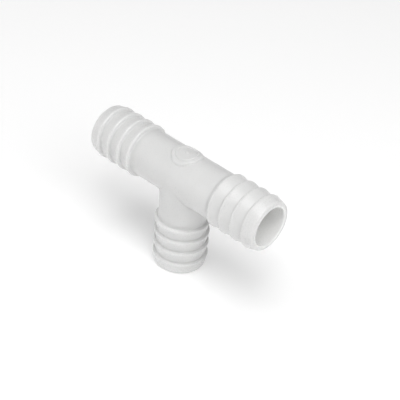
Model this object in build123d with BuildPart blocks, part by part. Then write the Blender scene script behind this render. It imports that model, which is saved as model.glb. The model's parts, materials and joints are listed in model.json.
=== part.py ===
"""Barbed tee connector for 19 mm bore irrigation hose.

Three equal hose spigots meet in a short junction body. The run lies along X and the branch
points down, along -Z. The origin is where the run axis and the branch axis cross.
All sizes are in millimetres.
"""

import math
import os

from build123d import *

# Overall lengths.
RUN_LENGTH = 82.0            # one run tip to the other
BRANCH_LENGTH = 39.6         # run axis to the branch tip

# Waterway and walls. Every outside radius grows out from the bore.
BORE_RADIUS = 7.6            # the same in all three legs
NECK_WALL = 1.85             # plain tube between the barbs and the crossing
BRANCH_NECK_RELIEF = 0.05    # the branch neck is this much slimmer, so it blends into the run
ROOT_WALL = 1.9              # bottom of the groove between two barbs
TIP_WALL = 2.0               # where the last ramp reaches the tip

# Barbs: a steep shoulder that faces the crossing, a narrow crest and a long ramp to the tip.
BARB_COUNT = 4               # on each spigot
BARB_PITCH = 5.3             # one crest to the next
BARB_HEIGHT = 1.1            # crest above root
NOSE_LENGTH = 4.4            # middle of the last crest to the tip
CREST_LENGTH = 0.8           # along the leg, before its corners are rounded
SHOULDER_ANGLE = 65.0        # measured from the leg's axis
ROOT_ROUND = 0.35            # foot of a shoulder
SHOULDER_ROUND = 0.5         # shoulder into crest
RAMP_ROUND = 1.2             # crest into ramp
NECK_STUB = 1.0              # plain neck behind the first shoulder that belongs to the spigot

# Tip.
TIP_ROUND = 1.0              # outer edge
MOUTH_ROUND = 0.4            # inner edge

# Junction body.
CROTCH_FILLET = 1.2          # where the branch wall meets the run wall

# Round pad on the back of the run, opposite the branch. It follows the run's curve.
PAD_RADIUS = 5.9
PAD_THICKNESS = 0.75
PAD_EDGE_ROUND = 0.3
RING_RADIUS = 4.0            # middle of the raised ring on the pad
RING_WIDTH = 0.7
RING_HEIGHT = 0.3

# Worked out from the sizes above.
run_reach = RUN_LENGTH / 2
run_neck_radius = BORE_RADIUS + NECK_WALL
branch_neck_radius = run_neck_radius - BRANCH_NECK_RELIEF
root_radius = BORE_RADIUS + ROOT_WALL
crest_radius = root_radius + BARB_HEIGHT
tip_radius = BORE_RADIUS + TIP_WALL
shoulder_slope = math.tan(math.radians(SHOULDER_ANGLE))


def barb_corners(crest_middle, foot_radius):
    """Foot and both ends of one crest, as ((distance along the leg, radius), rounding)."""
    crest_start = crest_middle - CREST_LENGTH / 2
    crest_end = crest_middle + CREST_LENGTH / 2
    foot = crest_start - (crest_radius - foot_radius) / shoulder_slope
    return [
        ((foot, foot_radius), ROOT_ROUND),
        ((crest_start, crest_radius), SHOULDER_ROUND),
        ((crest_end, crest_radius), RAMP_ROUND),
    ]


def spigot_corners(reach, neck_radius):
    """Corners of one spigot's wall section, the two at the joint with the junction body first."""
    last_crest = reach - NOSE_LENGTH
    barbs = []
    for barb in range(BARB_COUNT):
        crest_middle = last_crest - (BARB_COUNT - 1 - barb) * BARB_PITCH
        foot_radius = root_radius if barb else neck_radius
        barbs += barb_corners(crest_middle, foot_radius)
    joint = barbs[0][0][0] - NECK_STUB
    at_joint = [((joint, BORE_RADIUS), 0), ((joint, neck_radius), 0)]
    at_tip = [((reach, tip_radius), TIP_ROUND), ((reach, BORE_RADIUS), MOUTH_ROUND)]
    return at_joint + barbs + at_tip


def joint_distance(reach, neck_radius):
    """From the crossing to the joint between the junction body and a spigot."""
    return spigot_corners(reach, neck_radius)[0][0][0]


def make_spigot(leg_plane, reach, neck_radius):
    """Revolve one barbed spigot. The plane's x axis is the leg's axis, outward."""
    corners = spigot_corners(reach, neck_radius)
    points = [point for point, rounding in corners]
    roundings = [rounding for point, rounding in corners]
    with BuildPart() as spigot:
        with BuildSketch(leg_plane):
            with BuildLine():
                FilletPolyline(*points, radius=roundings, close=True)
            make_face()
        revolve(axis=Axis(leg_plane.origin, leg_plane.x_dir))
    return spigot


# Planes of the three leg sections: x runs outward along the leg, y is the radius.
right_leg = Plane(origin=(0, 0, 0), x_dir=(1, 0, 0), z_dir=(0, -1, 0))
left_leg = Plane(origin=(0, 0, 0), x_dir=(-1, 0, 0), z_dir=(0, 1, 0))
branch_leg = Plane(origin=(0, 0, 0), x_dir=(0, 0, -1), z_dir=(0, 1, 0))

right_spigot = make_spigot(right_leg, run_reach, run_neck_radius)
left_spigot = make_spigot(left_leg, run_reach, run_neck_radius)
branch_spigot = make_spigot(branch_leg, BRANCH_LENGTH, branch_neck_radius)

run_joint = joint_distance(run_reach, run_neck_radius)
branch_joint = joint_distance(BRANCH_LENGTH, branch_neck_radius)

# Round pad, cut to the run's curve.
with BuildPart() as pad:
    with BuildSketch(Plane.XY):
        Circle(PAD_RADIUS)
    extrude(amount=2 * run_neck_radius)
    with BuildSketch(Plane.YZ):
        Circle(run_neck_radius + PAD_THICKNESS)
    extrude(amount=run_joint, both=True, mode=Mode.INTERSECT)
    pad_top = pad.faces().sort_by(Axis.Z)[-1]
    fillet(pad_top.edges(), radius=PAD_EDGE_ROUND)

# Raised ring on the pad, cut to the same curve.
with BuildPart() as pad_ring:
    with BuildSketch(Plane.XY):
        Circle(RING_RADIUS + RING_WIDTH / 2)
        Circle(RING_RADIUS - RING_WIDTH / 2, mode=Mode.SUBTRACT)
    extrude(amount=2 * run_neck_radius)
    with BuildSketch(Plane.YZ):
        Circle(run_neck_radius + PAD_THICKNESS + RING_HEIGHT)
    extrude(amount=run_joint, both=True, mode=Mode.INTERSECT)

# Junction body: two crossing tubes with a filleted crotch and the pad, then the crossing bores.
with BuildPart() as junction_body:
    with BuildSketch(Plane.YZ):
        Circle(run_neck_radius)
    extrude(amount=run_joint, both=True)
    with BuildSketch(Plane.XY):
        Circle(branch_neck_radius)
    extrude(amount=-branch_joint)
    crotch = junction_body.edges().filter_by(GeomType.BSPLINE)
    fillet(crotch, radius=CROTCH_FILLET)
    add(pad.part)
    add(pad_ring.part)
    with BuildSketch(Plane.YZ):
        Circle(BORE_RADIUS)
    extrude(amount=run_joint, both=True, mode=Mode.SUBTRACT)
    with BuildSketch(Plane.XY):
        Circle(BORE_RADIUS)
    extrude(amount=-branch_joint, mode=Mode.SUBTRACT)

pieces = {
    "junction_body": junction_body,
    "right_spigot": right_spigot,
    "left_spigot": left_spigot,
    "branch_spigot": branch_spigot,
}

os.makedirs("parts", exist_ok=True)
for name, piece in pieces.items():
    piece.part.label = name
    export_step(piece.part, f"parts/{name}.step")
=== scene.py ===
"""Looks of a barbed tee connector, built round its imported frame.

Metres, in the frame's own axes: the run lies along X, the branch points down -Z, and the origin
is where their axes cross. The moulding is shown as four pieces that meet face to face: a junction
body and three barbed spigots.
"""

import json
import logging
import math
from dataclasses import dataclass, field
from enum import Enum
from functools import cache

import bmesh
import bpy
from mathutils import Matrix, Vector


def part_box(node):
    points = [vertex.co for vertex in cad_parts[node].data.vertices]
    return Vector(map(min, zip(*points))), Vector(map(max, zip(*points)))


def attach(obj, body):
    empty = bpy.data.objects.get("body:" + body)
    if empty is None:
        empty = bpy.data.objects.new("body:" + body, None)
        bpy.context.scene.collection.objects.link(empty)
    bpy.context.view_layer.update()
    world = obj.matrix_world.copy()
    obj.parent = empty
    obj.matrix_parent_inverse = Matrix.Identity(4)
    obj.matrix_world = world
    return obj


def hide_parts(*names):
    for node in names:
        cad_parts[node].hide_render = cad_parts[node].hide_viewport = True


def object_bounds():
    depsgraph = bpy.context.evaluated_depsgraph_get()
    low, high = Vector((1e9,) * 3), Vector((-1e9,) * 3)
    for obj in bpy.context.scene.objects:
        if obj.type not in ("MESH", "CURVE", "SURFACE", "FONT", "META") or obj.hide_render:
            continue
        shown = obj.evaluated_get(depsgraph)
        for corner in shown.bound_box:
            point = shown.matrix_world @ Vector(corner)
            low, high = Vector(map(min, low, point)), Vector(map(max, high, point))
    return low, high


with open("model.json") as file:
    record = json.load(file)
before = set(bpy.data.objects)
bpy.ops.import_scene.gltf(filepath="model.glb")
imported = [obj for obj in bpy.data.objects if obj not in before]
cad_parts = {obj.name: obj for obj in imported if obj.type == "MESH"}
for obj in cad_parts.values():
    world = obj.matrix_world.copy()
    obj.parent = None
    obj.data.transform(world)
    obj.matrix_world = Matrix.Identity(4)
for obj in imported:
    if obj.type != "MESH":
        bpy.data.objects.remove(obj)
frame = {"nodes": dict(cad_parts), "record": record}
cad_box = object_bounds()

logging.basicConfig(level=logging.INFO, format="%(levelname)s %(message)s")
log = logging.getLogger("tee")

MM = 0.001
RING_SEGMENTS = 192          # round every leg, a multiple of four
QUARTER = RING_SEGMENTS // 4
SHARP_ANGLE = math.radians(35)
SEAM_RIDGE = 0.035 * MM      # height of the mould's parting line
SAME_PLACE = 0.001 * MM      # points nearer than this are one point
LIP_CLEAR = 1.2              # the ridge starts this many mouth roundings out from the bore
NOISE_BAND = (0.3, 0.7)      # where most of a noise's values lie
BUMP_STRENGTH = 0.5
NYLON_IOR = 1.53
HIGHLIGHT_AND_GLOSS = "highlight_and_gloss"            # attribute, 0 to 1: how much a crest or rim edge is made glossier and lighter; the lighter colour is a painted highlight

Point = tuple[float, float, float]
Feed = object                # what a node input takes: an output socket or a plain value


class Leg(Enum):
    """A leg of the tee: its node, and the turn about Y that brings +Z onto the leg."""

    RIGHT = ("right_spigot", math.radians(90))
    LEFT = ("left_spigot", math.radians(-90))
    BRANCH = ("branch_spigot", math.radians(180))

    @property
    def node(self) -> str:
        """Name of the leg's node."""
        return self.value[0]

    @property
    def turn(self) -> float:
        """Turn about Y, in radians."""
        return self.value[1]

    @cache
    def span(self) -> tuple[float, float]:
        """Where the leg's spigot starts and ends.

        Returns:
            Distances from the crossing to the spigot's joint and to its tip.
        """
        low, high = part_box(self.node)
        if self is Leg.RIGHT:
            return low.x, high.x
        if self is Leg.LEFT:
            return -high.x, -low.x
        return -high.z, -low.z


def bore_radius() -> float:
    """Radius of the water way.

    Returns:
        The radius of the record's run bore.
    """
    mounts = {mount["name"]: mount for mount in frame["record"]["mounts"]}
    return mounts["run_bore"]["dims"]["r_mm"] * MM


# ---------------------------------------------------------------------------------------------
# Finishes
# ---------------------------------------------------------------------------------------------


class NodeBench:
    """Adds nodes to one node tree and wires them."""

    def __init__(self, tree: bpy.types.NodeTree) -> None:
        """Take the tree to fill.

        Args:
            tree: The node tree.
        """
        self.tree = tree

    def add(self, kind: str, settings: dict | None = None, **inputs: Feed) -> bpy.types.Node:
        """Add one node.

        Args:
            kind: The node's type name.
            settings: Properties to set on the node.
            **inputs: Socket names with "_" for a space, each with a value or a socket.

        Returns:
            The new node.
        """
        node = self.tree.nodes.new(kind)
        for name, value in (settings or {}).items():
            setattr(node, name, value)
        for name, value in inputs.items():
            self.feed(node.inputs[name.replace("_", " ")], value)
        return node

    def feed(self, socket: bpy.types.NodeSocket, value: Feed) -> None:
        """Link a socket into another, or set its value.

        Args:
            socket: The input to fill.
            value: An output socket, or a plain value.
        """
        if isinstance(value, bpy.types.NodeSocket):
            self.tree.links.new(value, socket)
        else:
            socket.default_value = value

    def math(self, operation: str, first: Feed, second: Feed = 0.0) -> bpy.types.NodeSocket:
        """Add a Math node.

        Args:
            operation: Its operation, such as "ADD".
            first: First value or socket.
            second: Second value or socket.

        Returns:
            The result's socket.
        """
        node = self.add("ShaderNodeMath", {"operation": operation})
        self.feed(node.inputs[0], first)
        self.feed(node.inputs[1], second)
        return node.outputs[0]

    def blend(self, share: Feed, low: Feed, high: Feed) -> bpy.types.NodeSocket:
        """Mix two colours.

        Args:
            share: Socket with the share of the second colour.
            low: First colour, as a socket or RGBA.
            high: Second colour, as a socket or RGBA.

        Returns:
            The mixed colour's socket.
        """
        node = self.add("ShaderNodeMix", {"data_type": "RGBA"})
        self.feed(node.inputs[0], share)
        self.feed(node.inputs[6], low)
        self.feed(node.inputs[7], high)
        return node.outputs[2]

    def distance(self, first: bpy.types.NodeSocket, second: bpy.types.NodeSocket) -> bpy.types.NodeSocket:
        """Distance from an axis.

        Args:
            first: One coordinate across the axis.
            second: The other coordinate across it.

        Returns:
            The distance's socket.
        """
        squares = self.math("ADD", self.math("POWER", first, 2.0), self.math("POWER", second, 2.0))
        return self.math("SQRT", squares)

    def spread(self, value: Feed, low: float, high: float, start: float, end: float) -> bpy.types.NodeSocket:
        """Map a value from one range to another.

        Args:
            value: Socket to map.
            low: Start of the range that it comes in.
            high: End of that range.
            start: What the low end becomes.
            end: What the high end becomes.

        Returns:
            The mapped value's socket.
        """
        node = self.add(
            "ShaderNodeMapRange", None,
            Value=value, From_Min=low, From_Max=high, To_Min=start, To_Max=end,
        )
        return node.outputs[0]


@dataclass(frozen=True)
class WhiteNylon:
    """Natural white moulded nylon: waxy, faintly cloudy, with a fine moulded skin."""

    name: str = "white_nylon"
    clear: tuple = (0.70, 0.70, 0.695, 1.0)
    cloudy: tuple = (0.74, 0.74, 0.735, 1.0)
    edge: tuple = (0.76, 0.76, 0.755, 1.0)      # painted highlight: crests and rims made lighter than the rest, standing in for the bright highlights along them
    lit_through: tuple = (0.90, 0.90, 0.89, 1.0)    # the water way: stands in for light through the wall
    cloud_scale: float = 90.0        # clouds per metre
    glow_fade: float = 1.2 * MM
    skin_scale: float = 2600.0       # skin grains per metre
    ripple_scale: float = 420.0      # slow waves of the cooled surface, per metre
    smooth: float = 0.26             # roughness in the grain's low places
    polish: float = 0.06             # taken off the roughness on raised edges
    rough: float = 0.38              # taken off the roughness on crest and rim edges
    skin_depth: float = 0.012 * MM
    ripple_depth: float = 0.03 * MM
    scatter_weight: float = 0.5
    scatter_reach: float = 1.5 * MM

    def make(self) -> bpy.types.Material:
        """Build the material.

        Returns:
            The finished material.
        """
        material = bpy.data.materials.new(self.name)
        material.use_nodes = True
        material.node_tree.nodes.clear()
        bench = NodeBench(material.node_tree)
        place = bench.add("ShaderNodeTexCoord").outputs["Object"]
        clouds = self.noise(bench, place, self.cloud_scale, 3.0)
        skin = self.noise(bench, place, self.skin_scale, 2.0)
        ripple = self.noise(bench, place, self.ripple_scale, 1.0)
        highlight_and_gloss = bench.add("ShaderNodeAttribute", {"attribute_name": HIGHLIGHT_AND_GLOSS}).outputs["Fac"]
        moulded = bench.blend(bench.spread(clouds, *NOISE_BAND, 0.0, 1.0), self.clear, self.cloudy)
        # painted highlight: crests and rims are blended towards the lighter edge colour; the same share
        # lowers their roughness below
        outside = bench.blend(highlight_and_gloss, moulded, self.edge)
        colour = bench.blend(self.inside(bench, place), outside, self.lit_through)
        roughness = bench.spread(skin, *NOISE_BAND, self.smooth, self.rough)
        roughness = bench.math("SUBTRACT", roughness, bench.math("MULTIPLY", highlight_and_gloss, self.polish))
        waves = bench.add("ShaderNodeBump", None, Height=ripple, Distance=self.ripple_depth,
                          Strength=BUMP_STRENGTH)
        grain = bench.add(
            "ShaderNodeBump", None,
            Height=skin, Distance=self.skin_depth, Strength=BUMP_STRENGTH, Normal=waves.outputs[0],
        )
        shader = bench.add(
            "ShaderNodeBsdfPrincipled", None,
            Base_Color=colour, Roughness=roughness, IOR=NYLON_IOR, Normal=grain.outputs[0],
            Subsurface_Weight=self.scatter_weight, Subsurface_Scale=self.scatter_reach,
        )
        shader.inputs["Subsurface Radius"].default_value = (1.0, 1.0, 1.0)
        bench.add("ShaderNodeOutputMaterial", None, Surface=shader.outputs[0])
        return material

    def inside(self, bench: NodeBench, place: bpy.types.NodeSocket) -> bpy.types.NodeSocket:
        """How far a place is inside the water way.

        Args:
            bench: The material's bench.
            place: Socket with the place on the object.

        Returns:
            1 on the bore's wall, fading to 0 within the thickness of the wall.
        """
        spot = bench.add("ShaderNodeSeparateXYZ", None, Vector=place).outputs
        from_run = bench.distance(spot["Y"], spot["Z"])
        from_branch = bench.distance(spot["X"], spot["Y"])
        above = bench.math("GREATER_THAN", spot["Z"], 0.0)
        from_branch = bench.math("ADD", from_branch, above)
        nearest = bench.math("MINIMUM", from_run, from_branch)
        bore = bore_radius()
        return bench.spread(nearest, bore + self.glow_fade, bore, 0.0, 1.0)

    def noise(self, bench: NodeBench, place: bpy.types.NodeSocket, scale: float,
              detail: float) -> bpy.types.NodeSocket:
        """Add one noise.

        Args:
            bench: The material's bench.
            place: Socket with the place on the object.
            scale: Grains per metre.
            detail: Octaves.

        Returns:
            The noise's value, 0 to 1.
        """
        node = bench.add("ShaderNodeTexNoise", None, Vector=place, Scale=scale, Detail=detail)
        return node.outputs[0]


# ---------------------------------------------------------------------------------------------
# Barbed spigots, by Geometry Nodes
# ---------------------------------------------------------------------------------------------


class SpigotTree:
    """The node tree that turns a row of barbs into a revolved spigot.

    One barb's three corners are instanced at each station along the leg, joined to the corners at
    the joint and the tip, strung into a closed wall section, rounded, and swept round the leg.
    """

    INPUTS: tuple = (
        ("Barbs", "NodeSocketInt"),
        ("First Crest", "NodeSocketFloat"),
        ("Pitch", "NodeSocketFloat"),
        ("Crest Length", "NodeSocketFloat"),
        ("Shoulder Run", "NodeSocketFloat"),
        ("Root Radius", "NodeSocketFloat"),
        ("Crest Radius", "NodeSocketFloat"),
        ("Root Round", "NodeSocketFloat"),
        ("Shoulder Round", "NodeSocketFloat"),
        ("Ramp Round", "NodeSocketFloat"),
        ("Joint", "NodeSocketFloat"),
        ("Neck Radius", "NodeSocketFloat"),
        ("Bore Radius", "NodeSocketFloat"),
        ("Reach", "NodeSocketFloat"),
        ("Tip Radius", "NodeSocketFloat"),
        ("Tip Round", "NodeSocketFloat"),
        ("Mouth Round", "NodeSocketFloat"),
        ("Round Steps", "NodeSocketInt"),
        ("Ring Spacing", "NodeSocketFloat"),
        ("Segments", "NodeSocketInt"),
        ("Seam Ridge", "NodeSocketFloat"),
        ("Turn", "NodeSocketFloat"),
        ("Finish", "NodeSocketMaterial"),
    )

    def __init__(self) -> None:
        """Build the tree."""
        self.tree = bpy.data.node_groups.new("spigot_tree", "GeometryNodeTree")
        self.bench = NodeBench(self.tree)
        for name, kind in self.INPUTS:
            self.tree.interface.new_socket(name, in_out="INPUT", socket_type=kind)
        self.tree.interface.new_socket("Geometry", in_out="OUTPUT", socket_type="NodeSocketGeometry")
        self.given = self.bench.add("NodeGroupInput").outputs
        section = self.section()
        skin = self.ridge(self.sweep(section))
        self.finish(skin)

    def switch(self, kind: str, *values: Feed) -> bpy.types.NodeSocket:
        """Pick a value by the point's index.

        Args:
            kind: Data type of the values.
            *values: One value or socket for each index.

        Returns:
            The picked value's socket.
        """
        index = self.bench.add("GeometryNodeInputIndex").outputs[0]
        node = self.bench.add("GeometryNodeIndexSwitch", {"data_type": kind}, Index=index)
        while len(node.index_switch_items) < len(values):
            node.index_switch_items.new()
        for number, value in enumerate(values):
            self.bench.feed(node.inputs[number + 1], value)
        return node.outputs[0]

    def corners(self, places: tuple, radii: tuple, roundings: tuple, orders: tuple,
                highlight_and_gloss: tuple) -> bpy.types.NodeSocket:
        """Points for the corners of a wall section.

        Args:
            places: Distance along the leg, one for each corner.
            radii: Radius, one for each corner.
            roundings: Rounding, one for each corner.
            orders: Added to the distance to sort the corners along the section.
            highlight_and_gloss: How much the corner takes the lower roughness and the painted highlight, 0
                to 1, one for each corner.

        Returns:
            Socket with the points.
        """
        bench = self.bench
        place = bench.add("ShaderNodeCombineXYZ", None, X=self.switch("FLOAT", *radii),
                          Z=self.switch("FLOAT", *places)).outputs[0]
        points = bench.add("GeometryNodePoints", None, Count=len(places), Position=place).outputs[0]
        for name, values in (("rounding", roundings), ("order", orders), (HIGHLIGHT_AND_GLOSS, highlight_and_gloss)):
            store = bench.add("GeometryNodeStoreNamedAttribute", {"data_type": "FLOAT", "domain": "POINT"},
                              Geometry=points, Name=name, Value=self.switch("FLOAT", *values))
            points = store.outputs[0]
        return points

    def named(self, name: str) -> bpy.types.NodeSocket:
        """Read a stored number by name."""
        node = self.bench.add("GeometryNodeInputNamedAttribute", {"data_type": "FLOAT"}, Name=name)
        return node.outputs[0]

    def barbs(self) -> bpy.types.NodeSocket:
        """One barb's corners, instanced at every station along the leg.

        Returns:
            Socket with the points.
        """
        bench, given = self.bench, self.given
        half = bench.math("MULTIPLY", given["Crest Length"], 0.5)
        back = bench.math("MULTIPLY", half, -1.0)
        foot = bench.math("SUBTRACT", back, given["Shoulder Run"])
        barb = self.corners(
            (foot, back, half),
            (given["Root Radius"], given["Crest Radius"], given["Crest Radius"]),
            (given["Root Round"], given["Shoulder Round"], given["Ramp Round"]),
            (0.0, 0.0, 0.0),
            # painted highlight and lower roughness: full at the shoulder's crest corner, a little at the
            # ramp's, none at the foot
            (0.0, 1.0, 0.3),
        )
        start = bench.add("ShaderNodeCombineXYZ", None, Z=given["First Crest"]).outputs[0]
        step = bench.add("ShaderNodeCombineXYZ", None, Z=given["Pitch"]).outputs[0]
        stations = bench.add("GeometryNodeMeshLine", {"mode": "OFFSET"}, Count=given["Barbs"],
                             Start_Location=start, Offset=step).outputs[0]
        placed = bench.add("GeometryNodeInstanceOnPoints", None, Points=stations, Instance=barb).outputs[0]
        return bench.add("GeometryNodeRealizeInstances", None, Geometry=placed).outputs[0]

    def section(self) -> bpy.types.NodeSocket:
        """The closed and rounded wall section, with rings of points along its straights.

        Returns:
            Socket with the section's curve.
        """
        bench, given = self.bench, self.given
        ends = self.corners(
            (given["Joint"], given["Joint"], given["Reach"], given["Reach"]),
            (given["Bore Radius"], given["Neck Radius"], given["Tip Radius"], given["Bore Radius"]),
            (0.0, 0.0, given["Tip Round"], given["Mouth Round"]),
            (-1.0, 0.0, 0.0, 1.0),
            # painted highlight and lower roughness: full at the tip's outer rim, less at the mouth's rim
            (0.0, 0.0, 1.0, 0.6),
        )
        joined = bench.add("GeometryNodeJoinGeometry")
        self.tree.links.new(ends, joined.inputs[0])
        self.tree.links.new(self.barbs(), joined.inputs[0])
        place = bench.add("GeometryNodeInputPosition").outputs[0]
        along = bench.add("ShaderNodeSeparateXYZ", None, Vector=place).outputs["Z"]
        weight = bench.math("ADD", along, self.named("order"))
        strung = bench.add("GeometryNodePointsToCurves", None, Points=joined.outputs[0], Weight=weight)
        closed = bench.add("GeometryNodeSetSplineCyclic", None, Geometry=strung.outputs[0], Cyclic=True)
        rounded = bench.add("GeometryNodeFilletCurve", {"mode": "POLY"}, Curve=closed.outputs[0],
                            Count=given["Round Steps"], Radius=self.named("rounding"), Limit_Radius=True)
        return bench.add("GeometryNodeSubdivideCurve", None, Curve=rounded.outputs[0],
                         Cuts=self.cuts()).outputs[0]

    def cuts(self) -> bpy.types.NodeSocket:
        """How many points to add between a section point and the next one.

        Returns:
            Socket with the number.
        """
        bench = self.bench
        index = bench.add("GeometryNodeInputIndex").outputs[0]
        count = bench.add("GeometryNodeSplineLength").outputs["Point Count"]
        after = bench.add("FunctionNodeIntegerMath", {"operation": "ADD"})
        bench.feed(after.inputs[0], index)
        after.inputs[1].default_value = 1
        wrapped = bench.add("FunctionNodeIntegerMath", {"operation": "MODULO"})
        bench.feed(wrapped.inputs[0], after.outputs[0])
        bench.feed(wrapped.inputs[1], count)
        here = bench.add("GeometryNodeInputPosition").outputs[0]
        there = bench.add("GeometryNodeFieldAtIndex", {"data_type": "FLOAT_VECTOR", "domain": "POINT"})
        bench.feed(there.inputs["Index"], wrapped.outputs[0])
        bench.feed(there.inputs["Value"], here)
        gap = bench.add("ShaderNodeVectorMath", {"operation": "DISTANCE"})
        bench.feed(gap.inputs[0], here)
        bench.feed(gap.inputs[1], there.outputs[0])
        return bench.math("DIVIDE", gap.outputs["Value"], self.given["Ring Spacing"])

    def sweep(self, section: bpy.types.NodeSocket) -> bpy.types.NodeSocket:
        """Sweep the section round the leg's axis.

        Args:
            section: Socket with the section's curve, in the XZ plane.

        Returns:
            Socket with the swept mesh.
        """
        bench = self.bench
        path = bench.add("GeometryNodeCurvePrimitiveCircle", {"mode": "RADIUS"},
                         Resolution=self.given["Segments"], Radius=self.given["Bore Radius"]).outputs[0]
        spot = bench.add("ShaderNodeSeparateXYZ", None,
                         Vector=bench.add("GeometryNodeInputPosition").outputs[0]).outputs
        outward = bench.math("SUBTRACT", spot["X"], self.given["Bore Radius"])
        along = bench.math("MULTIPLY", spot["Z"], -1.0)
        flat = bench.add("ShaderNodeCombineXYZ", None, X=outward, Y=along).outputs[0]
        laid = bench.add("GeometryNodeSetPosition", None, Geometry=section, Position=flat).outputs[0]
        return bench.add("GeometryNodeCurveToMesh", None, Curve=path, Profile_Curve=laid).outputs[0]

    def ridge(self, skin: bpy.types.NodeSocket) -> bpy.types.NodeSocket:
        """Raise the parting line where the outer skin crosses the mould's split plane, y = 0.

        Args:
            skin: Socket with the swept mesh.

        Returns:
            Socket with the ridged mesh.
        """
        bench, given = self.bench, self.given
        place = bench.add("GeometryNodeInputPosition").outputs[0]
        spot = bench.add("ShaderNodeSeparateXYZ", None, Vector=place).outputs
        on_line = bench.math("LESS_THAN", bench.math("ABSOLUTE", spot["Y"]), SAME_PLACE)
        lip = bench.math("MULTIPLY", given["Mouth Round"], LIP_CLEAR)
        outside = bench.math("GREATER_THAN", bench.math("ABSOLUTE", spot["X"]),
                             bench.math("ADD", given["Bore Radius"], lip))
        push = bench.math("MULTIPLY", bench.math("SIGN", spot["X"]), given["Seam Ridge"])
        push = bench.math("MULTIPLY", push, bench.math("MULTIPLY", on_line, outside))
        offset = bench.add("ShaderNodeCombineXYZ", None, X=push).outputs[0]
        return bench.add("GeometryNodeSetPosition", None, Geometry=skin, Offset=offset).outputs[0]

    def finish(self, skin: bpy.types.NodeSocket) -> None:
        """Turn the spigot onto its leg, set its edges and finish, and end the tree.

        Args:
            skin: Socket with the mesh.
        """
        bench, given = self.bench, self.given
        turn = bench.add("FunctionNodeAxisAngleToRotation", None, Axis=(0.0, 1.0, 0.0), Angle=given["Turn"])
        turned = bench.add("GeometryNodeTransform", None, Geometry=skin, Rotation=turn.outputs[0]).outputs[0]
        angle = bench.add("GeometryNodeInputMeshEdgeAngle").outputs["Unsigned Angle"]
        gentle = bench.math("LESS_THAN", angle, SHARP_ANGLE)
        faces = bench.add("GeometryNodeSetShadeSmooth", {"domain": "FACE"}, Geometry=turned,
                          Shade_Smooth=True)
        edges = bench.add("GeometryNodeSetShadeSmooth", {"domain": "EDGE"}, Geometry=faces.outputs[0],
                          Shade_Smooth=gentle)
        real = bench.add("GeometryNodeRealizeInstances", None, Geometry=edges.outputs[0])
        dressed = bench.add("GeometryNodeSetMaterial", None, Geometry=real.outputs[0],
                            Material=given["Finish"])
        bench.add("NodeGroupOutput", None, Geometry=dressed.outputs[0])


@dataclass
class BarbedSpigot:
    """One hose spigot: four rounded barbs and a tip with a soft lip."""

    leg: Leg
    tree: SpigotTree
    finish: bpy.types.Material
    barbs: int = 4
    pitch: float = 5.3 * MM
    barb_height: float = 1.1 * MM
    crest_length: float = 0.8 * MM
    nose: float = 4.4 * MM
    tip_drop: float = 1.0 * MM
    shoulder_angle: float = math.radians(65)
    root_round: float = 0.35 * MM
    shoulder_round: float = 0.5 * MM
    ramp_round: float = 1.2 * MM
    tip_round: float = 1.0 * MM
    mouth_round: float = 0.4 * MM
    round_steps: int = 7
    ring_spacing: float = 0.35 * MM

    def sizes(self) -> dict[str, object]:
        """Work out the tree's inputs from the frame and the fields.

        Returns:
            The inputs by name.
        """
        joint, reach = self.leg.span()
        low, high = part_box(self.leg.node)
        crest = (high.y - low.y) / 2
        root = crest - self.barb_height
        return {
            "Barbs": self.barbs,
            "First Crest": reach - self.nose - (self.barbs - 1) * self.pitch,
            "Pitch": self.pitch,
            "Crest Length": self.crest_length,
            "Shoulder Run": self.barb_height / math.tan(self.shoulder_angle),
            "Root Radius": root,
            "Crest Radius": crest,
            "Root Round": self.root_round,
            "Shoulder Round": self.shoulder_round,
            "Ramp Round": self.ramp_round,
            "Joint": joint,
            "Neck Radius": neck_radius(self.leg),
            "Bore Radius": bore_radius(),
            "Reach": reach,
            "Tip Radius": crest - self.tip_drop,
            "Tip Round": self.tip_round,
            "Mouth Round": self.mouth_round,
            "Round Steps": self.round_steps,
            "Ring Spacing": self.ring_spacing,
            "Segments": RING_SEGMENTS,
            "Seam Ridge": SEAM_RIDGE,
            "Turn": self.leg.turn,
            "Finish": self.finish,
        }

    def build(self) -> bpy.types.Object:
        """Grow the spigot, turn it into a plain mesh and hand it to the frame.

        Returns:
            The finished piece.
        """
        holder = bpy.data.objects.new("grower", bpy.data.meshes.new("grower"))
        bpy.context.scene.collection.objects.link(holder)
        modifier = holder.modifiers.new("grow", "NODES")
        modifier.node_group = self.tree.tree
        sockets = {item.name: item for item in self.tree.tree.interface.items_tree if item.in_out == "INPUT"}
        for name, value in self.sizes().items():
            modifier[sockets[name].identifier] = value
        graph = bpy.context.evaluated_depsgraph_get()
        mesh = bpy.data.meshes.new_from_object(holder.evaluated_get(graph))
        bpy.data.objects.remove(holder)
        return show(mesh, self.leg.node + "_skin", self.leg.node)


@cache
def neck_radius(leg: Leg) -> float:
    """Outside radius of the plain neck that a leg's spigot grows from.

    Args:
        leg: The leg.

    Returns:
        The radius at the joint between the junction body and the spigot.
    """
    joint = leg.span()[0]
    vertices = frame["nodes"]["junction_body"].data.vertices
    axis = 2 if leg is Leg.BRANCH else 0
    others = [number for number in range(3) if number != axis]
    rims = [vertex.co for vertex in vertices if abs(abs(vertex.co[axis]) - joint) < 0.01 * MM]
    return max(math.hypot(rim[others[0]], rim[others[1]]) for rim in rims)


def show(mesh: bpy.types.Mesh, name: str, node: str) -> bpy.types.Object:
    """Put a finished mesh in the scene in place of a CAD node.

    Args:
        mesh: The mesh, already in place.
        name: The piece's name.
        node: The CAD node that it stands for.

    Returns:
        The piece.
    """
    mesh.name = name
    piece = bpy.data.objects.new(name, mesh)
    bpy.context.scene.collection.objects.link(piece)
    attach(piece, "root")
    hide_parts(node)
    log.info("%s: %d faces", name, len(mesh.polygons))
    return piece


# ---------------------------------------------------------------------------------------------
# Junction body
# ---------------------------------------------------------------------------------------------


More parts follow.
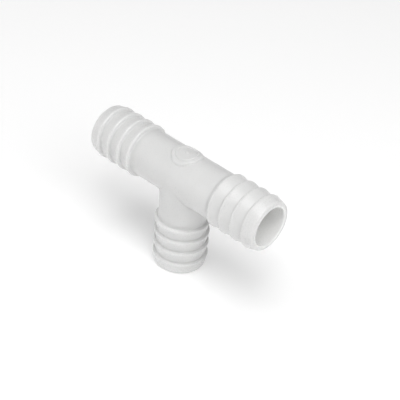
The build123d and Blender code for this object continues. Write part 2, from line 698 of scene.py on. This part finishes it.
@dataclass
class JunctionBody:
    """Two crossing tubes with a filleted crotch, and a round pad on top of the run."""

    finish: bpy.types.Material
    crotch_round: float = 1.2 * MM
    bore_edge_round: float = 0.3 * MM
    corner_zone: float = 1.3 * MM    # the stretch each side of the crotch that holds its rounding
    run_cells: int = 36
    corner_cells: int = 10
    branch_cells: int = 16
    pad_radius: float = 5.9 * MM
    pad_thickness: float = 0.75 * MM
    pad_foot_round: float = 0.3 * MM
    pad_edge_round: float = 0.45 * MM
    ring_radius: float = 4.0 * MM
    ring_width: float = 0.7 * MM
    ring_height: float = 0.3 * MM
    gate_radius: float = 0.8 * MM
    gate_height: float = 0.25 * MM
    pad_field: float = 8.6 * MM      # half the square of tube wall that the pad's grid fans out over
    fan_rings: int = 9
    pad_edge_highlight_and_gloss: float = 0.35        # how far the pad's edge takes the lower roughness and the painted highlight
    mesh: bmesh.types.BMesh = field(default_factory=bmesh.new)

    def build(self) -> bpy.types.Object:
        """Build the junction body.

        Returns:
            The finished piece.
        """
        run = neck_radius(Leg.RIGHT)
        branch = neck_radius(Leg.BRANCH)
        self.tube(run, branch, self.crotch_round, True)
        self.tube(bore_radius(), bore_radius(), self.bore_edge_round, False)
        self.pad(run)
        for leg in Leg:
            self.end_ring(leg, branch if leg is Leg.BRANCH else run)
        bmesh.ops.remove_doubles(self.mesh, verts=self.mesh.verts, dist=SAME_PLACE)
        bmesh.ops.recalc_face_normals(self.mesh, faces=self.mesh.faces)
        for face in self.mesh.faces:
            face.smooth = True
        for edge in self.mesh.edges:
            edge.smooth = len(edge.link_faces) == 2 and edge.calc_face_angle(0.0) < SHARP_ANGLE
        mesh = bpy.data.meshes.new("junction_body_skin")
        self.mesh.to_mesh(mesh)
        self.mesh.free()
        mesh.materials.append(self.finish)
        return show(mesh, "junction_body_skin", "junction_body")

    def tube(self, radius: float, branch_radius: float, rounding: float, with_field: bool) -> None:
        """Skin of the three crossing tubes, outer or inner.

        Args:
            radius: Radius of the run.
            branch_radius: Radius that the branch has drafted to at its joint.
            rounding: Rounding where the branch meets the run, at the crotch.
            with_field: True to leave out the square that the pad's grid fills.
        """
        for side in (1, -1):
            for front in (1, -1):
                lines = []
                for step in range(QUARTER + 1):
                    ridge = SEAM_RIDGE if with_field and step == QUARTER else 0.0
                    line = self.bend(step, radius + ridge, branch_radius + ridge, rounding)
                    lines.append([(side * x, front * y, z) for x, y, z in line])
                self.patch(lines)
        stations = self.stations()
        rows = [self.row(radius, stations, step) for step in range(-QUARTER, QUARTER + 1)]
        if not with_field:
            self.patch(rows)
            return
        column, row_number = self.field_cells(radius)
        middle = len(stations) // 2
        first, last = middle - column, middle + column
        top, bottom = QUARTER - row_number, QUARTER + row_number
        self.patch(rows[: top + 1])
        self.patch(rows[bottom:])
        self.patch([row[: first + 1] for row in rows[top: bottom + 1]])
        self.patch([row[last:] for row in rows[top: bottom + 1]])

    def row(self, radius: float, stations: list[float], step: int) -> list[Point]:
        """One line along the top half of the run.

        Args:
            radius: The run's radius.
            stations: Places along the run.
            step: Ring step from the top, negative to the front.

        Returns:
            The line's points.
        """
        angle = math.radians(90) * step / QUARTER
        reach = radius + (SEAM_RIDGE if step == 0 and radius > bore_radius() else 0.0)
        return [(x, reach * math.sin(angle), reach * math.cos(angle)) for x in stations]

    def stations(self) -> list[float]:
        """Places along the run where the top half has rings.

        Returns:
            The places, from -X to +X.
        """
        joint = Leg.RIGHT.span()[0]
        far = [joint + (self.corner_zone - joint) * cell / self.run_cells for cell in range(self.run_cells)]
        half = self.corner_cells // 2
        near = [self.corner_zone * (half - cell) / half for cell in range(half)]
        right = far + near
        return [-x for x in right] + [0.0] + right[::-1]

    def bend(self, step: int, radius: float, branch_radius: float, rounding: float) -> list[Point]:
        """One line from the run's joint, round the crotch, down to the branch's joint.

        It lies in a plane of constant y, so its corner is square and takes a true arc.

        Args:
            step: Ring step down from the run's side; the last one is the run's bottom line.
            radius: Radius of the run.
            branch_radius: Radius of the branch at its joint.
            rounding: Rounding at the bottom line; it fades out up the side.

        Returns:
            The line's points, in the quarter with x and y positive.
        """
        run_joint = Leg.RIGHT.span()[0]
        branch_joint = Leg.BRANCH.span()[0]
        angle = math.radians(90) * step / QUARTER
        drop = radius * math.sin(angle)
        aside = radius * math.cos(angle)
        arc = rounding * math.sin(angle)
        start = drop + self.corner_zone
        points = []
        for cell in range(self.run_cells):
            x = run_joint + (start - run_joint) * cell / self.run_cells
            points.append((x, aside, -drop))
        straight = self.corner_zone - arc
        length = 2 * straight + arc * math.pi / 2
        for cell in range(self.corner_cells + 1):
            points.append(self.corner_point(length * cell / self.corner_cells, straight, arc, drop, aside))
        for cell in range(1, self.branch_cells + 1):
            share = cell / self.branch_cells
            slim = 1 + (branch_radius / radius - 1) * share
            z = -start + (start - branch_joint) * share
            points.append((drop * slim, aside * slim, z))
        return points

    def corner_point(self, travel: float, straight: float, arc: float, drop: float, aside: float) -> Point:
        """A point on the rounded corner between the run's wall and the branch's wall.

        Args:
            travel: Distance from where the corner zone starts.
            straight: Length of each straight stretch beside the arc.
            arc: Radius of the arc.
            drop: How far the corner is below the run's axis, and beside the branch's.
            aside: The line's y.

        Returns:
            The point.
        """
        turn_length = arc * math.pi / 2
        if travel <= straight:
            return (drop + self.corner_zone - travel, aside, -drop)
        if travel >= straight + turn_length:
            return (drop, aside, -drop - arc - (travel - straight - turn_length))
        angle = (travel - straight) / arc
        return (drop + arc - arc * math.sin(angle), aside, -drop - arc + arc * math.cos(angle))

    def patch(self, lines: list[list[Point]], highlight_and_gloss: list[float] | None = None) -> None:
        """Fill faces between neighbouring lines of points.

        Args:
            lines: Lines with the same number of points.
            highlight_and_gloss: How much each line takes the lower roughness and the painted highlight, 0 to
                1.
        """
        layer = self.mesh.verts.layers.float.get(HIGHLIGHT_AND_GLOSS) or self.mesh.verts.layers.float.new(HIGHLIGHT_AND_GLOSS)
        grid = [[self.mesh.verts.new(point) for point in line] for line in lines]
        for line, amount in zip(grid, highlight_and_gloss or []):
            for vertex in line:
                vertex[layer] = amount
        for line, after in zip(grid, grid[1:]):
            for number in range(len(line) - 1):
                self.mesh.faces.new((line[number], line[number + 1], after[number + 1], after[number]))

    def end_ring(self, leg: Leg, radius: float) -> None:
        """Flat ring that closes the wall at a joint.

        Args:
            leg: The leg.
            radius: Outside radius there.
        """
        joint = leg.span()[0]
        turn = Matrix.Rotation(leg.turn, 3, "Y")
        rings = []
        for reach in (bore_radius(), radius):
            ring = []
            for step in range(RING_SEGMENTS + 1):
                angle = math.tau * step / RING_SEGMENTS
                on_line = step % (2 * QUARTER) == 0 and reach == radius
                edge = reach + SEAM_RIDGE if on_line else reach
                point = turn @ Vector((edge * math.cos(angle), edge * math.sin(angle), joint))
                ring.append(tuple(point))
            rings.append(ring)
        self.patch(rings)

    def field_cells(self, radius: float) -> tuple[int, int]:
        """Half the columns and half the rows of the square that holds the pad.

        Args:
            radius: The run's radius.

        Returns:
            Columns along the run and rows round it, each counted from the middle.
        """
        stations = self.stations()
        column = sum(1 for x in stations if 0 < x <= self.pad_field)
        row_number = round(self.pad_field / radius / (math.radians(90) / QUARTER))
        return column, row_number

    def field_rim(self, radius: float) -> list[tuple[float, float]]:
        """The square's rim as (x, angle from the top), once round.

        Args:
            radius: The run's radius.

        Returns:
            The rim's points, with the first one repeated at the end.
        """
        stations = self.stations()
        column, row_number = self.field_cells(radius)
        middle = len(stations) // 2
        xs = stations[middle - column: middle + column + 1]
        step = math.radians(90) / QUARTER
        angles = [number * step for number in range(-row_number, row_number + 1)]
        rim = [(xs[-1], angle) for angle in angles]
        rim += [(x, angles[-1]) for x in xs[-2::-1]]
        rim += [(xs[0], angle) for angle in angles[-2::-1]]
        rim += [(x, angles[0]) for x in xs[1:]]
        return rim

    def pad(self, radius: float) -> None:
        """The pad's grid: it fans out from the pad's foot to the square of tube wall around it.

        Args:
            radius: The run's radius.
        """
        rim = self.field_rim(radius)
        bearings = [math.atan2(radius * angle, x) for x, angle in rim]
        outline = self.pad_outline()
        foot = outline[0][0]
        lines = []
        for number in range(self.fan_rings + 1):
            share = number / self.fan_rings
            line = []
            for (x, angle), bearing in zip(rim, bearings):
                foot_angle = math.asin(foot * math.sin(bearing) / radius)
                place = x + (foot * math.cos(bearing) - x) * share
                round_angle = angle + (foot_angle - angle) * share
                edge = radius + (SEAM_RIDGE * (1 - share) if angle == 0 else 0.0)
                line.append((place, edge * math.sin(round_angle), edge * math.cos(round_angle)))
            lines.append(line)
        highlight_and_gloss = [0.0] * len(lines)
        for reach, height in outline:
            line = []
            for bearing in bearings:
                x = reach * math.cos(bearing)
                y = reach * math.sin(bearing)
                line.append((x, y, math.sqrt((radius + height) ** 2 - y * y)))
            lines.append(line)
            # the pad's rounded edge takes part of the painted highlight and lower roughness
            at_edge = 0.0 < height < self.pad_thickness
            highlight_and_gloss.append(self.pad_edge_highlight_and_gloss if at_edge else 0.0)
        self.patch(lines, highlight_and_gloss)

    def pad_outline(self) -> list[tuple[float, float]]:
        """The pad's section, with its ring and its gate nub.

        Returns:
            Points as (distance from the pad's middle, height above the tube), inward.
        """
        ring_out = self.ring_radius + self.ring_width / 2
        ring_in = self.ring_radius - self.ring_width / 2
        low, high = self.pad_thickness, self.pad_thickness + self.ring_height
        outline = step_up(self.pad_radius, 0.0, low, self.pad_foot_round, self.pad_edge_round)
        outline += flat(outline[-1][0], ring_out + self.ring_height / 2, low, 4)
        outline += step_up(ring_out, low, high, self.ring_height / 2, self.ring_height / 2)
        down = step_up(-ring_in, low, high, self.ring_height / 2, self.ring_height / 2)
        outline += [(-reach, height) for reach, height in reversed(down)]
        outline += flat(outline[-1][0], self.gate_radius + self.gate_height / 2, low, 6)
        outline += step_up(self.gate_radius, low, low + self.gate_height, self.gate_height / 2,
                           self.gate_height / 2)
        outline += flat(outline[-1][0], 0.0, low + self.gate_height, 4)
        return outline + [(0.0, low + self.gate_height)]


def step_up(edge: float, low: float, high: float, foot_round: float, edge_round: float) -> list:
    """Section of a step, inward: an arc at its foot and an arc at its edge.

    Args:
        edge: Distance of the step's wall from the middle.
        low: Height outside.
        high: Height inside.
        foot_round: Radius of the arc at the foot.
        edge_round: Radius of the arc at the edge.

    Returns:
        Points as (distance, height).
    """
    steps = 4
    quarter = [math.radians(90) * number / steps for number in range(steps + 1)]
    foot = [
        (edge + foot_round * (1 - math.sin(angle)), low + foot_round * (1 - math.cos(angle)))
        for angle in quarter
    ]
    top = [
        (edge - edge_round * (1 - math.cos(angle)), high - edge_round * (1 - math.sin(angle)))
        for angle in quarter
    ]
    return foot + top


def flat(start: float, end: float, height: float, cells: int) -> list:
    """Points between two distances at one height, without the two ends."""
    return [(start + (end - start) * number / cells, height) for number in range(1, cells)]


# ---------------------------------------------------------------------------------------------
# Studio
# ---------------------------------------------------------------------------------------------


@dataclass(frozen=True)
class Lamp:
    """A round soft lamp, aimed at the crossing."""

    name: str
    azimuth: float       # zero is the front, -Y; a quarter turn is +X
    elevation: float
    size: float
    power: float
    distance: float = 1.0

    def hang(self) -> None:
        """Put the lamp in the scene."""
        light = bpy.data.lights.new(self.name, "AREA")
        light.shape = "DISK"
        light.size = self.size
        light.energy = self.power
        holder = bpy.data.objects.new(self.name, light)
        towards = direction(self.azimuth, self.elevation)
        holder.location = towards * self.distance
        holder.rotation_mode = "QUATERNION"
        holder.rotation_quaternion = towards.to_track_quat("Z", "Y")
        bpy.context.scene.collection.objects.link(holder)


def direction(azimuth: float, elevation: float) -> Vector:
    """Unit vector from the object towards a place round it.

    Args:
        azimuth: Zero is the front, -Y; a quarter turn is +X.
        elevation: Above the horizon.

    Returns:
        The vector.
    """
    level = math.cos(elevation)
    return Vector((math.sin(azimuth) * level, -math.cos(azimuth) * level, math.sin(elevation)))


@dataclass
class Studio:
    """Pale floor, soft light and the camera."""

    azimuth: float = math.radians(41.3)
    elevation: float = math.radians(35.9)
    roll: float = math.radians(4.33)
    distance: float = 440.5 * MM
    lens: float = 108.0
    aim_right: float = 5.2 * MM      # the aim point lies this far right of the crossing
    aim_down: float = 9.15 * MM      # and this far below it
    floor_reach: float = 6.0
    floor_colour: tuple = (0.95, 0.95, 0.95, 1.0)
    sky_colour: tuple = (1.0, 1.0, 1.0, 1.0)
    sky_strength: float = 0.22
    floor_glow: float = 0.14         # the floor is a faintly lit table
    lamps: tuple[Lamp, ...] = (
        Lamp("key_lamp", math.radians(68), math.radians(46), 0.8, 4.3),
        Lamp("top_lamp", math.radians(0), math.radians(80), 0.8, 4.4),
        Lamp("side_lamp", math.radians(-50), math.radians(16), 0.9, 1.6),
        Lamp("back_lamp", math.radians(170), math.radians(50), 0.9, 0.5),
        Lamp("spark_lamp", math.radians(36), math.radians(59), 0.2, 0.7),
    )

    def set_up(self) -> None:
        """Lay the floor, light it and place the camera."""
        bpy.context.scene.view_settings.view_transform = "Standard"
        self.lay_floor()
        self.light()
        self.camera()

    def lay_floor(self) -> None:
        """A plain pale floor under the branch tip."""
        reach = self.floor_reach
        level = cad_box[0].z
        mesh = bpy.data.meshes.new("floor")
        square = ((-reach, -reach), (reach, -reach), (reach, reach), (-reach, reach))
        corners = [(x, y, level) for x, y in square]
        mesh.from_pydata(corners, [], [(0, 1, 2, 3)])
        material = bpy.data.materials.new("pale_floor")
        material.use_nodes = True
        shader = material.node_tree.nodes["Principled BSDF"]
        shader.inputs["Base Color"].default_value = self.floor_colour
        shader.inputs["Roughness"].default_value = 1.0
        shader.inputs["Emission Color"].default_value = self.floor_colour
        shader.inputs["Emission Strength"].default_value = self.floor_glow
        mesh.materials.append(material)
        floor = bpy.data.objects.new("floor", mesh)
        bpy.context.scene.collection.objects.link(floor)

    def light(self) -> None:
        """A pale sky all round and the soft lamps."""
        world = bpy.data.worlds.new("pale_sky")
        world.use_nodes = True
        sky = world.node_tree.nodes["Background"]
        sky.inputs["Color"].default_value = self.sky_colour
        sky.inputs["Strength"].default_value = self.sky_strength
        bpy.context.scene.world = world
        for lamp in self.lamps:
            lamp.hang()

    def camera(self) -> None:
        """The camera, a little rolled, looking down at the tee from the right of its front."""
        back = direction(self.azimuth, self.elevation)
        level = Vector((math.cos(self.azimuth), math.sin(self.azimuth), 0.0))
        upright = back.cross(level)
        right = level * math.cos(self.roll) + upright * math.sin(self.roll)
        above = upright * math.cos(self.roll) - level * math.sin(self.roll)
        place = back * self.distance
        target = right * self.aim_right - above * self.aim_down
        out = (place - target).normalized()
        side = (right - out * right.dot(out)).normalized()
        turn = Matrix((side, out.cross(side), out)).transposed()
        data = bpy.data.cameras.new("camera")
        data.lens = self.lens
        data.sensor_width = 36.0
        camera = bpy.data.objects.new("camera", data)
        camera.rotation_mode = "QUATERNION"
        camera.location = place
        camera.rotation_quaternion = turn.to_quaternion()
        bpy.context.scene.collection.objects.link(camera)
        bpy.context.scene.camera = camera


def main() -> None:
    """Build every piece and the studio round them."""
    Studio().set_up()
    nylon = WhiteNylon().make()
    JunctionBody(finish=nylon).build()
    tree = SpigotTree()
    for leg in Leg:
        BarbedSpigot(leg=leg, tree=tree, finish=nylon).build()


if __name__ == "__main__":
    main()
